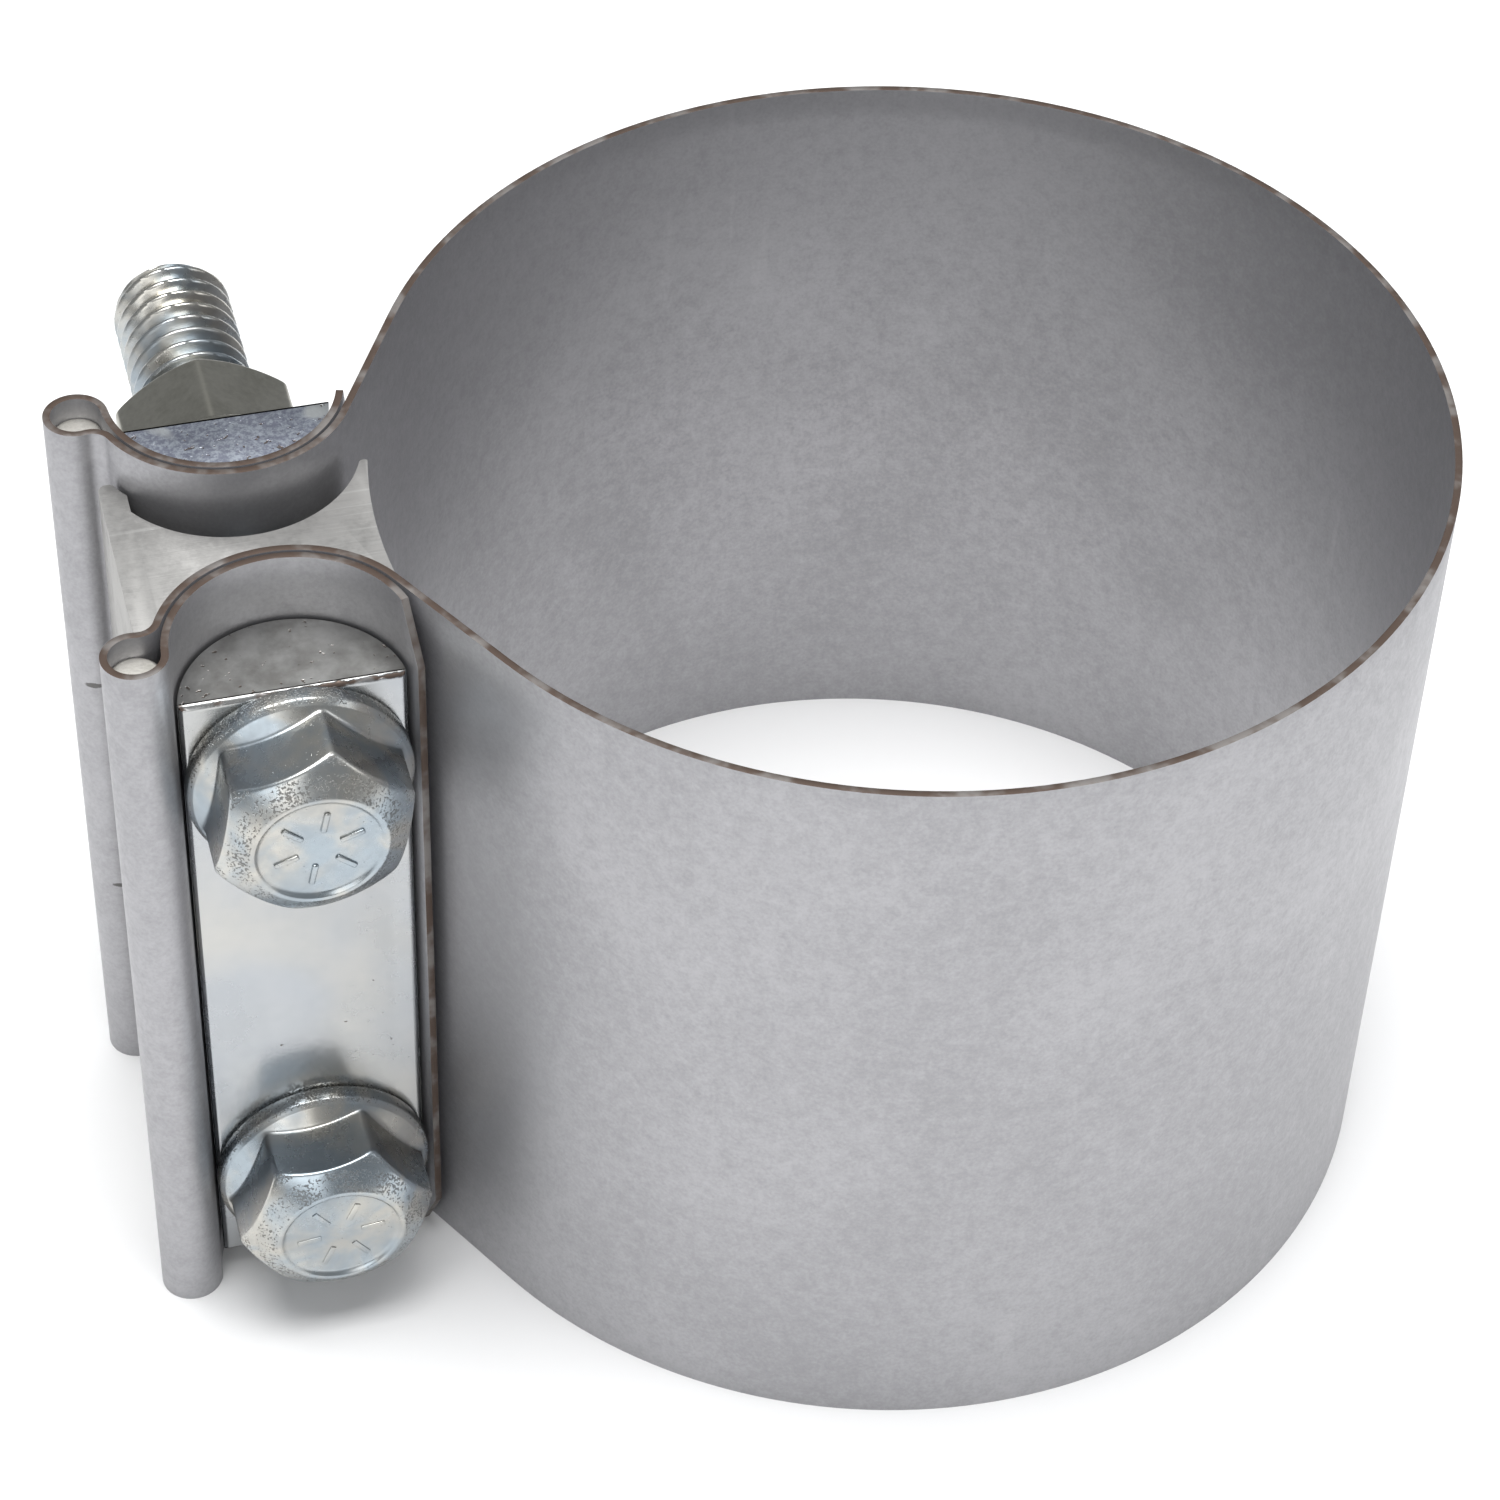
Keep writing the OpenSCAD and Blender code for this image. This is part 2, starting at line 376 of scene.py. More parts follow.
def makeSheetMetal(look):
    # mottled sheet with faint scuffs and a few dark nicks
    material, tree, shader, where = newMetal("sheetMetal", look["metallic"])
    grain = useGroup(tree, grainGroup, Place=where, Grain=look["grain"], Cloud=look["cloud"])
    colour = mixColour(tree, grain["Tone"], look["dark"], look["light"])
    along = addNode(tree, "ShaderNodeMapping", {"Vector": where, "Rotation": look["scuffTurn"],
                                                "Scale": look["scuffStretch"]}).outputs["Vector"]
    scuffs = useGroup(tree, scratchGroup, Place=along, Scale=1.0)["Mask"]
    patch = remap(tree, noise(tree, where, look["scuffPatches"], 2.0, 0.5), 0.55, 0.7)
    scuffs = times(tree, times(tree, scuffs, patch), look["scuffStrength"])
    colour = mixColour(tree, scuffs, colour, look["scuff"])
    squeezed = addNode(tree, "ShaderNodeVectorMath", {0: where, 1: look["nickSqueeze"]},
                       operation="MULTIPLY").outputs[0]
    ragged = times(tree, grain["Height"], look["nickRagged"])
    for place, size in look["nicks"]:
        away = addNode(tree, "ShaderNodeVectorMath", {0: squeezed, 1: Vector(place) * look["nickSqueeze"]},
                       operation="DISTANCE").outputs["Value"]
        spot = remap(tree, calc(tree, "ADD", away, ragged), size, size + look["nickFade"],
                     look["nickStrength"], 0.0)
        colour = mixColour(tree, spot, colour, look["nick"])
    roughness = linear(tree, grain["Tone"], look["rough"], look["smooth"])
    setSurface(tree, shader, colour, roughness, grain["Height"], look["depth"])
    return material


edgeLook = {
    "brown": (0.12, 0.09, 0.075),
    "dull": (0.25, 0.235, 0.225),
    "bright": (0.5, 0.495, 0.485),
    "smooth": 0.3,
    "rough": 0.7,
    "grain": 900.0,
    "blotches": 260.0,
    "ragged": 0.6,
    "depth": 0.05 * mm,
}


def makeRawEdge(look):
    # sheared edge: a torn brown zone beside a burnished bright one
    material, tree, shader, where = newMetal("rawEdge")
    across = addNode(tree, "ShaderNodeUVMap", uv_map="across").outputs["UV"]
    side = addNode(tree, "ShaderNodeSeparateXYZ", {0: across}).outputs["Y"]
    ragged = noise(tree, where, look["grain"], 3.0, 0.6)
    blotch = noise(tree, where, look["blotches"], 3.0, 0.6)
    border = calc(tree, "SUBTRACT", side, times(tree, ragged, look["ragged"]))
    torn = remap(tree, border, 0.1, 0.28, 1.0, 0.0)
    rust = mixColour(tree, remap(tree, blotch, 0.42, 0.66), look["brown"], look["dull"])
    colour = mixColour(tree, torn, look["bright"], rust)
    setSurface(tree, shader, colour, linear(tree, torn, look["smooth"], look["rough"]), ragged, look["depth"])
    return material


def makePlate(tree, where, look):
    # the plating that bolts and bars share: slow bluish and yellowish patches, dulled by the grain
    grain = useGroup(tree, grainGroup, Place=where, Grain=look["grain"], Cloud=look["cloud"],
                     Cloud_Share=look["cloudShare"])
    tint = remap(tree, noise(tree, where, look["patches"], look["patchDetail"], look["patchRoughness"], 0.5),
                 *look["patchLimits"])
    plate = mixColour(tree, tint, look["blue"], look["warm"])
    dulling = remap(tree, grain["Tone"], 0.0, 1.0, look["dulling"], 0.0)
    return grain, mixColour(tree, dulling, plate, look["dull"])


zincLook = {
    "blue": (0.37, 0.425, 0.465),
    "warm": (0.55, 0.53, 0.48),
    "dull": (0.25, 0.27, 0.29),
    "dulling": 0.4,
    "grain": 900.0,
    "cloud": 120.0,
    "cloudShare": 0.6,
    "patches": 170.0,
    "patchDetail": 3.0,
    "patchRoughness": 0.55,
    "patchLimits": (0.36, 0.66),
    "stain": (0.11, 0.105, 0.1),
    "stainStrength": 0.62,
    "smooth": 0.2,
    "rough": 0.36,
    "pitScale": 4200.0,
    "pitPatches": 300.0,
    "fewPits": 0.3,
    "manyPits": 0.85,      # where the attribute pitZone is 1
    "pitRough": 0.3,
    "depth": 0.03 * mm,
}


def makeBoltZinc(look):
    # plating with small dark pits
    material, tree, shader, where = newMetal("zincPlate")
    grain, plate = makePlate(tree, where, look)
    zone = addNode(tree, "ShaderNodeAttribute", attribute_name="pitZone").outputs["Fac"]
    spots = useGroup(tree, pitGroup, Place=where, Scale=look["pitScale"], Patch_Scale=look["pitPatches"],
                     Amount=linear(tree, zone, look["fewPits"], look["manyPits"]))["Mask"]
    colour = mixColour(tree, times(tree, spots, look["stainStrength"]), plate, look["stain"])
    roughness = calc(tree, "ADD", linear(tree, grain["Tone"], look["rough"], look["smooth"]),
                     times(tree, spots, look["pitRough"]))
    height = calc(tree, "SUBTRACT", times(tree, grain["Height"], 0.3), spots)
    setSurface(tree, shader, colour, roughness, height, look["depth"], 0.7)
    return material


barLook = {
    "blue": (0.425, 0.445, 0.47),
    "warm": (0.49, 0.485, 0.465),
    "dull": (0.36, 0.385, 0.41),
    "dulling": 0.3,
    "grain": 700.0,
    "cloud": 55.0,
    "cloudShare": 0.65,
    "patches": 60.0,
    "patchDetail": 2.0,
    "patchRoughness": 0.5,
    "patchLimits": (0.3, 0.75),
    "endDark": (0.30, 0.295, 0.28),
    "endLight": (0.50, 0.50, 0.485),
    "brightEndDark": (0.17, 0.185, 0.25),
    "brightEndLight": (0.36, 0.40, 0.46),
    "bloom": (0.5, 0.52, 0.52),
    "stain": (0.12, 0.09, 0.07),
    "stainStrength": 0.8,
    "cut": (0.13, 0.1, 0.085),
    "cutWidth": 0.7 * mm,
    "cutFade": 0.12 * mm,
    "cutRagged": 0.7 * mm,
    "smooth": 0.17,
    "rough": 0.32,
    "pitScale": 1500.0,
    "pitPatches": 220.0,
    "fewPits": 0.12,
    "manyPits": 0.52,      # on the ends
    "depth": 0.04 * mm,
}


def makeBarEnd(tree, where, look, bright):
    # a sheared end: blotchy grey, or where bright is 1 a bluish speckle with pale blooms
    blotch = remap(tree, noise(tree, where, 300.0, 5.0, 0.6), 0.3, 0.72)
    speckle = remap(tree, noise(tree, where, 2300.0, 3.0, 0.7), 0.38, 0.66)
    bloom = remap(tree, noise(tree, where, 190.0, 1.0, 0.5), 0.62, 0.72)
    colour = mixColour(tree, bright, mixColour(tree, blotch, look["endDark"], look["endLight"]),
                       mixColour(tree, speckle, look["brightEndDark"], look["brightEndLight"]))
    return mixColour(tree, times(tree, bloom, bright), colour, look["bloom"])


def makeBarZinc(name, look, flatAt, ends, bright):
    # plated bar with sheared ends: a broken brown line where the flat meets each end
    material, tree, shader, where = newMetal(name)
    grain, plate = makePlate(tree, where, look)
    parts = addNode(tree, "ShaderNodeSeparateXYZ", {0: where}).outputs
    fromMiddle = calc(tree, "ABSOLUTE", calc(tree, "SUBTRACT", parts["Z"], (ends[0] + ends[1]) / 2))
    fromEnd = calc(tree, "SUBTRACT", (ends[1] - ends[0]) / 2, fromMiddle)
    fromFlat = calc(tree, "ABSOLUTE", calc(tree, "SUBTRACT", parts["Y"], flatAt))
    onEnd = remap(tree, fromEnd, 0.06 * mm, 0.12 * mm, 1.0, 0.0)
    colour = mixColour(tree, onEnd, plate, makeBarEnd(tree, where, look, bright))
    spots = useGroup(tree, pitGroup, Place=where, Scale=look["pitScale"], Patch_Scale=look["pitPatches"],
                     Amount=linear(tree, onEnd, look["fewPits"], look["manyPits"]))["Mask"]
    colour = mixColour(tree, times(tree, spots, look["stainStrength"]), colour, look["stain"])
    ragged = times(tree, noise(tree, where, 700.0, 3.0, 0.6), look["cutRagged"])
    reach = calc(tree, "ADD", calc(tree, "MAXIMUM", fromEnd, fromFlat), ragged)
    broken = remap(tree, noise(tree, where, 320.0, 2.0, 0.5), 0.38, 0.5)
    line = times(tree, remap(tree, reach, look["cutWidth"], look["cutWidth"] + look["cutFade"], 1.0, 0.0),
                 broken)
    colour = mixColour(tree, line, colour, look["cut"])
    roughness = calc(tree, "ADD", linear(tree, grain["Tone"], look["rough"], look["smooth"]),
                     times(tree, calc(tree, "MAXIMUM", line, onEnd), 0.14))
    height = calc(tree, "SUBTRACT", times(tree, grain["Height"], 0.25), calc(tree, "MAXIMUM", spots, line))
    setSurface(tree, shader, colour, roughness, height, look["depth"], 0.8)
    return material


blockLook = {
    "dark": (0.32, 0.315, 0.305),
    "light": (0.43, 0.423, 0.41),
    "scratch": (0.62, 0.62, 0.6),
    "scratchStrength": 0.35,
    "metallic": 0.75,
    "smooth": 0.42,
    "rough": 0.56,
    "grain": 1200.0,
    "cloud": 70.0,
    "cloudShare": 0.5,
    "brushTurn": (0, 0, math.radians(38)),
    "brushStretch": (120.0, 5200.0, 30.0),
    "depth": 0.02 * mm,
}


def makeBrushedBlock(look):
    # end faces brushed slantwise, long faces drawn along Z
    material, tree, shader, where = newMetal("brushedBlock", look["metallic"])
    slant = addNode(tree, "ShaderNodeMapping", {"Vector": where, "Rotation": look["brushTurn"],
                                                "Scale": look["brushStretch"]}).outputs["Vector"]
    brush = useGroup(tree, scratchGroup, Place=slant, Scale=1.0)
    grain = useGroup(tree, grainGroup, Place=where, Grain=look["grain"], Cloud=look["cloud"],
                     Cloud_Share=look["cloudShare"])
    tone = addNode(tree, "ShaderNodeMix", {0: 0.5, 2: brush["Height"], 3: grain["Tone"]},
                   data_type="FLOAT").outputs[0]
    colour = mixColour(tree, remap(tree, tone, 0.3, 0.7), look["dark"], look["light"])
    colour = mixColour(tree, times(tree, brush["Mask"], look["scratchStrength"]), colour, look["scratch"])
    roughness = remap(tree, brush["Height"], 0.3, 0.7, look["rough"], look["smooth"], False)
    setSurface(tree, shader, colour, roughness, brush["Height"], look["depth"], 0.6)
    return material


oliveLook = {
    "dark": (0.24, 0.235, 0.205),
    "light": (0.42, 0.41, 0.365),
    "smooth": 0.28,
    "rough": 0.42,
    "grain": 1300.0,
    "cloud": 150.0,
    "cloudShare": 0.4,
    "depth": 0.012 * mm,
}
rodLook = {
    "dark": (0.50, 0.485, 0.44),
    "light": (0.74, 0.72, 0.67),
    "smooth": 0.4,
    "rough": 0.6,
    "grain": 1800.0,
    "cloud": 300.0,
    "cloudShare": 0.4,
    "depth": 0.03 * mm,
}


def makeGrainedMetal(name, look):
    # one grained colour, smoother where it is lighter
    material, tree, shader, where = newMetal(name)
    grain = useGroup(tree, grainGroup, Place=where, Grain=look["grain"], Cloud=look["cloud"],
                     Cloud_Share=look["cloudShare"])
    colour = mixColour(tree, grain["Tone"], look["dark"], look["light"])
    roughness = linear(tree, grain["Tone"], look["rough"], look["smooth"])
    setSurface(tree, shader, colour, roughness, grain["Height"], look["depth"])
    return material


print("materials")
sheetMetal = makeSheetMetal(sheetLook)
rawEdge = makeRawEdge(edgeLook)
zincPlate = makeBoltZinc(zincLook)
frontLow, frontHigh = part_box("bar_front")
rearLow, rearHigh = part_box("bar_rear")
barZincFront = makeBarZinc("barZincFront", barLook, frontLow.y, (frontLow.z, frontHigh.z), 0.0)
barZincRear = makeBarZinc("barZincRear", barLook, rearHigh.y, (rearLow.z, rearHigh.z), 0.85)
oliveZinc = makeGrainedMetal("oliveZinc", oliveLook)
brushedBlock = makeBrushedBlock(blockLook)
rodSteel = makeGrainedMetal("rodSteel", rodLook)


def giveMaterials(piece, materials):
    piece.data.materials.clear()
    for material in materials:
        piece.data.materials.append(material)


def finishPiece(piece, body, nodes, materials, sharp=35):
    if list(piece.data.materials) != materials:
        giveMaterials(piece, materials)
    smoothBy(piece, sharp)
    if isinstance(body, str):
        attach(piece, body)
    else:
        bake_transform(piece)
    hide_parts(*nodes)


# the band: one sheet from lip to lip

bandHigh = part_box("band_front")[1]
pipeMount = record["mounts"][0]
band = {
    "sheet": 0.7 * mm,
    "innerRadius": pipeMount["dims"]["r_mm"] * mm,
    "halfWidth": bandHigh.z,
    "humpX": -62.5 * mm,
    "humpY": 17.8 * mm,
    "humpRadius": 12.15 * mm,      # centre line of the outer layer
    "foldRadius": 11.15 * mm,      # centre line of the inner layer
    "loopRadius": 2.7 * mm,
    "neckRadius": 2.0 * mm,
    "loopAngle": 184,
    "lipAngle": 15,
    "lipLength": 3 * mm,
    "lipCut": 6 * mm,              # how far the lip's corners are cut back
    "holeRadius": 7.5 * mm,
    "edgeRound": 0.06 * mm,
    "flex": 5 * mm,                # half the span at the back between the two points passed with the band's bodies
    "rows": 24,
    "ringSteps": 84,
    "runSteps": 4,
    "humpSteps": 44,
    "neckSteps": 14,
    "loopSteps": 44,
    "foldSteps": 48,
    "lipSteps": 3,
}


def bandPath(b):
    # centres and angles of the bends of the half at +Y, worked out from the tangent circles
    ring = b["innerRadius"] + b["sheet"] / 2
    hump = Vector((b["humpX"], b["humpY"], 0))
    total = ring + b["humpRadius"]
    ringEnd = math.degrees(math.atan2(hump.y, hump.x) - math.acos(total / hump.length))
    loopOff = b["foldRadius"] + b["loopRadius"]
    loop = hump + loopOff * direction(b["loopAngle"])
    toNeck = b["humpRadius"] + b["neckRadius"]
    fromLoop = b["loopRadius"] + b["neckRadius"]
    along = (toNeck ** 2 - fromLoop ** 2 + loopOff ** 2) / (2 * loopOff)
    neckAngle = b["loopAngle"] + math.degrees(math.acos(along / toNeck))
    neck = hump + toNeck * direction(neckAngle)
    neckEnd = math.degrees(math.atan2(loop.y - neck.y, loop.x - neck.x))
    return {
        "ring": ring, "ringEnd": ringEnd, "run": math.sqrt(hump.length ** 2 - total ** 2),
        "hump": hump, "humpTurn": ringEnd + 180 - neckAngle,
        "neck": neck, "neckTurn": neckEnd - neckAngle + 180,
        "loop": loop, "loopTurn": neckEnd + 180 - (b["loopAngle"] - 180),
    }


def makeBand(b):
    path = bandPath(b)
    piece = startPoint("band", (path["ring"], 0, -b["halfWidth"]))
    extrudeBy((0, 0, 2 * b["halfWidth"]))
    bpy.ops.mesh.select_all(action="SELECT")
    bpy.ops.mesh.subdivide(number_cuts=b["rows"] - 1)
    turnBy(path["ringEnd"], b["ringSteps"], (0, 0, 0))
    extrudeBy(path["run"] * direction(path["ringEnd"] + 90), b["runSteps"])
    turnBy(-path["humpTurn"], b["humpSteps"], path["hump"])
    turnBy(path["neckTurn"], b["neckSteps"], path["neck"])
    turnBy(-path["loopTurn"], b["loopSteps"], path["loop"])
    turnBy(360 - b["lipAngle"] - b["loopAngle"], b["foldSteps"], path["hump"])
    lipWay = direction(90 - b["lipAngle"])
    extrudeBy(b["lipLength"] * lipWay, b["lipSteps"])
    leaveEdit()
    lipFacing = direction(-b["lipAngle"])
    lipStart = path["hump"] + b["foldRadius"] * lipFacing
    for vertex in piece.data.vertices:
        reach = (vertex.co - lipStart).dot(lipWay)
        beside = abs((vertex.co - lipStart).dot(lipFacing))
        if beside < 5 * near and reach > 0:
            vertex.co.z *= 1 - b["lipCut"] * reach / b["lipLength"] / b["halfWidth"]
    modify(piece, "MIRROR", use_axis=(False, True, False), use_mirror_merge=True, merge_threshold=near)

    def facesOut(mesh):
        face = max(mesh.polygons, key=lambda f: f.center.x)
        return face.normal.x > 0

    cleanUp(piece, facesOut)
    giveMaterials(piece, [sheetMetal, rawEdge])
    shell = piece.vertex_groups.new(name="shell")
    rim = piece.vertex_groups.new(name="rim")
    modify(piece, "SOLIDIFY", thickness=b["sheet"], offset=0, use_even_offset=True,
           material_offset_rim=1, shell_vertex_group=shell.name, rim_vertex_group=rim.name)
    # the rim's UV runs from 0 on one face of the sheet to 1 on the other
    across = piece.data.uv_layers.new(name="across")
    inShell = [any(g.group == shell.index and g.weight > 0.5 for g in v.groups)
               for v in piece.data.vertices]
    for loop in piece.data.loops:
        across.data[loop.index].uv = (0, 1.0 if inShell[loop.vertex_index] else 0.0)
    return piece


print("band")
bandPiece = makeBand(band)
cutWith(bandPiece, boltHoles(band["holeRadius"], -band["humpY"], band["humpY"], band["humpX"]))
roundEdges(bandPiece, band["edgeRound"], 2, 60)
flexFrom, flexTo = (bandHigh.x, -band["flex"], 0), (bandHigh.x, band["flex"], 0)
finishPiece(bandPiece, ("front", "rear", flexFrom, flexTo), ["band_front", "band_rear"],
            [sheetMetal, rawEdge])


# rods in the rolled loops

rod = {
    "endRound": 0.35 * mm,
    "sides": 40,
}


def makeRod(size, r):
    selectNone()
    bpy.ops.mesh.primitive_cylinder_add(vertices=r["sides"], radius=size.x / 2, depth=size.z)
    piece = bpy.context.object
    roundEdges(piece, r["endRound"], 3, 60)
    return piece


print("rods")
rodLow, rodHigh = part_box("rod_front")
rodShape = makeRod(rodHigh - rodLow, rod)
for name, node, body in (("rodFront", "rod_front", "front"), ("rodRear", "rod_rear", "rear")):
    piece = copyOf(rodShape, name)
    low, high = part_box(node)
    piece.data.transform(Matrix.Translation((low + high) / 2))
    finishPiece(piece, body, [node], [rodSteel])
bpy.data.objects.remove(rodShape)


# half-round clamp bars

bar = {
    "radius": 10.5 * mm,
    "longRound": 0.7 * mm,     # the two long edges
    "endRound": 0.15 * mm,
    "holeRadius": 7.7 * mm,
    "steps": 64,
}


def makeBar(name, node, body, side, metal, b):
    # side is -1 for the front bar, whose flat faces -Y, and 1 for the rear bar
    low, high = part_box(node)
    flat = high.y if side > 0 else low.y
    roundSide = low.y if side > 0 else high.y
    axisY = roundSide + side * b["radius"]
    x = (low.x + high.x) / 2
    drop = abs(axisY - flat)
    half = math.sqrt(b["radius"] ** 2 - drop ** 2)
    start = math.degrees(math.atan2(flat - axisY, half))
    piece = startPoint(name, (x + half, flat, low.z))
    turnBy(-side * (180 + side * 2 * start), b["steps"], (x, axisY, low.z))
    bpy.ops.mesh.select_all(action="SELECT")
    bpy.ops.mesh.edge_face_add()
    extrudeBy((0, 0, high.z - low.z))
    bpy.ops.mesh.select_all(action="SELECT")
    bpy.ops.mesh.normals_make_consistent(inside=False)

    def isLongEdge(a, c):
        upright = abs(a.z - c.z) > mm
        return upright and abs(a.y - flat) < near and abs(abs(a.x - x) - half) < near

    pickEdges(isLongEdge)
    bpy.ops.mesh.bevel(offset=b["longRound"], segments=5, affect="EDGES", offset_type="OFFSET")
    cutWith(piece, boltHoles(b["holeRadius"], low.y - mm, high.y + mm, x, (low.z + high.z) / 2))
    roundEdges(piece, b["endRound"], 3, 50)
    finishPiece(piece, body, [node], [metal])


print("bars")
makeBar("barFront", "bar_front", "front", -1, barZincFront, bar)
makeBar("barRear", "bar_rear", "bar_rear", 1, barZincRear, bar)


# spacer between the humps

spacer = {
    "web": 4.4 * mm,               # between the two hollows
    "hollowRadius": 12.3 * mm,
    "clearRadius": 12.85 * mm,     # round the hump's own axis, which frees the ears' tips
    "earWidth": 2.5 * mm,
    "hornY": 10.4 * mm,
    "innerRadius": 51.2 * mm,      # the face that follows the ring
    "holeRadius": 6.75 * mm,
    "earRound": 0.9 * mm,
    "tipRound": 0.35 * mm,
    "hornRound": 0.33 * mm,
    "endRound": 0.15 * mm,
}


def makeSpacer(s):
    low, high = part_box("spacer")
    hump = Vector((band["humpX"], band["humpY"], 0))
    hollow = Vector((band["humpX"], s["web"] / 2 + s["hollowRadius"], 0))
    bottom = Vector((0, 0, low.z))
    earTop = hump.x - math.sqrt(s["clearRadius"] ** 2 - (hump.y - high.y) ** 2)
    earInner = low.x + s["earWidth"]
    clearStart = math.degrees(math.atan2(high.y - hump.y, earTop - hump.x)) % 360
    clearEnd = 180 + math.degrees(math.acos((hump.x - earInner) / s["clearRadius"]))
    hollowStart = 180 + math.degrees(math.acos((hollow.x - earInner) / s["hollowRadius"]))
    hollowEnd = 360 - math.degrees(math.asin((hollow.y - s["hornY"]) / s["hollowRadius"]))
    hornAngle = 180 - math.degrees(math.asin(s["hornY"] / s["innerRadius"]))
    clearPoint = hump + s["clearRadius"] * direction(clearEnd)
    hollowPoint = hollow + s["hollowRadius"] * direction(hollowStart)
    hollowTip = hollow + s["hollowRadius"] * direction(hollowEnd)
    hornPoint = s["innerRadius"] * direction(hornAngle)
    piece = startPoint("spacer", (low.x, 0, low.z))
    extrudeBy((0, high.y, 0))
    extrudeBy((earTop - low.x, 0, 0))
    turnBy(clearEnd - clearStart, 4, hump + bottom)
    extrudeBy(hollowPoint - clearPoint)
    turnBy(hollowEnd - hollowStart, 60, hollow + bottom)
    extrudeBy(hornPoint - hollowTip)
    turnBy(180 - hornAngle, 8, bottom)
    modify(piece, "MIRROR", use_axis=(False, True, False), use_mirror_merge=True, merge_threshold=near)
    bpy.ops.object.mode_set(mode="EDIT")
    corners = [(low.x, high.y, s["earRound"]), (earTop, high.y, s["tipRound"]),
               (hornPoint.x, s["hornY"], s["hornRound"]), (hollowTip.x, s["hornY"], s["hornRound"])]
    for cornerX, cornerY, size in corners:
        pickVertices(lambda co: abs(co.x - cornerX) < near / 2 and abs(abs(co.y) - cornerY) < near / 2)
        bpy.ops.mesh.bevel(offset=size, segments=5, affect="VERTICES")
    bpy.ops.mesh.select_all(action="SELECT")
    bpy.ops.mesh.edge_face_add()
    extrudeBy((0, 0, high.z - low.z))
    cleanUp(piece)
    cutWith(piece, boltHoles(s["holeRadius"], low.y - mm, high.y + mm, hump.x, (low.z + high.z) / 2))
    roundEdges(piece, s["endRound"], 2, 50)
    finishPiece(piece, "spacer", ["spacer"], [brushedBlock])


print("spacer")
makeSpacer(spacer)


# flange bolts and nuts

poleRadius = 0.02 * mm      # of the tiny rings at the poles, closed later
hexagon = {
    "halfFlats": 8.5 * mm,
    "cornerRadius": 9.8 * mm,
    "flangeRadius": 10.5 * mm,
    "flangeThick": 1.9 * mm,
    "coneTop": 3.1 * mm,
    "coneRadius": 8.9 * mm,
    "crownPower": 1.3,        # how the crown curves between its two ends
    "crownBlend": 0.3 * mm,
    "coneBlend": 0.35 * mm,
    "sharpness": 46,          # higher gives sharper hexagon corners
    "fineStep": 0.1 * mm,
    "coarseStep": 0.3 * mm,
    "steps": 240,
}
bolt = {
    **hexagon,
    "headHeight": 10.6 * mm,
    "crownDrop": 3.0 * mm,
    "endRadius": 6.3 * mm,
    "dishRadius": 6.1 * mm,
    "dishDepth": 0.4 * mm,
    "markPlace": 3.2 * mm,
    "markLength": 2.4 * mm,
    "markWidth": 0.6 * mm,
    "radius": 6 * mm,
    "length": 70 * mm,
    "buried": 0.8 * mm,       # of the shank in the head
    "thread": 40 * mm,
    "pitch": 2 * mm,
    "depth": 1.2 * mm,
    "rootShare": 0.12,        # of half a pitch, as is the flank's
    "flankShare": 0.72,
    "runOut": 3 * mm,
    "leadIn": 0.2 * mm,
    "ringStep": 0.125 * mm,
    "tipCut": 1.3 * mm,
    "pitDrop": 1.3 * mm,      # how far down the crown the pits reach
}
nut = {
    **hexagon,
    "turn": 88,
    "headHeight": 13 * mm,
    "crownDrop": 1.9 * mm,
    "endRadius": 7.6 * mm,
    "boreRadius": 6.08 * mm,
}


def lathe(name, points, steps, closed):
    # points are (radius, height) along +Z, spun about Z
    piece = startPoint(name, (points[0][0], 0, points[0][1]))
    for before, after in zip(points, points[1:]):
        extrudeBy((after[0] - before[0], 0, after[1] - before[1]))
    if closed:
        extrudeBy((points[0][0] - points[-1][0], 0, points[0][1] - points[-1][1]))
    bpy.ops.mesh.select_all(action="SELECT")
    bpy.ops.mesh.spin(steps=steps, angle=2 * math.pi, center=(0, 0, 0), axis=(0, 0, 1))
    leaveEdit()
    cleanUp(piece)
    return piece


def hexRadius(angle, halfFlats, sharpness):
    total = 0
    for side in range(6):
        facing = math.cos(angle - math.radians(30 + 60 * side))
        if facing > 0:
            total += (facing / halfFlats) ** sharpness
    return total ** (-1 / sharpness)


def headPoints(h):
    # profile of the hexagon end from the crown's inner edge down to the bearing face
    top = h["headHeight"]
    crownWidth = h["cornerRadius"] - h["endRadius"]
    points = []
    drop = 0.0
    while top - drop > h["flangeThick"] + 0.25 * mm:
        points.append((h["endRadius"] + crownWidth * min(drop / h["crownDrop"], 1), top - drop))
        curved = drop < h["crownDrop"] or top - drop < h["coneTop"] + mm
        drop += h["fineStep"] if curved else h["coarseStep"]
    rim = h["flangeRadius"]
    thick = h["flangeThick"]
    points += [(rim - 0.25 * mm, thick), (rim - 0.07 * mm, thick - 0.12 * mm), (rim, thick - 0.35 * mm),
               (rim, 0.4 * mm), (rim - 0.08 * mm, 0.15 * mm), (rim - 0.3 * mm, 0)]
    return points


def scaleOut(vertex, radius, target):
    vertex.co.x *= target / radius
    vertex.co.y *= target / radius


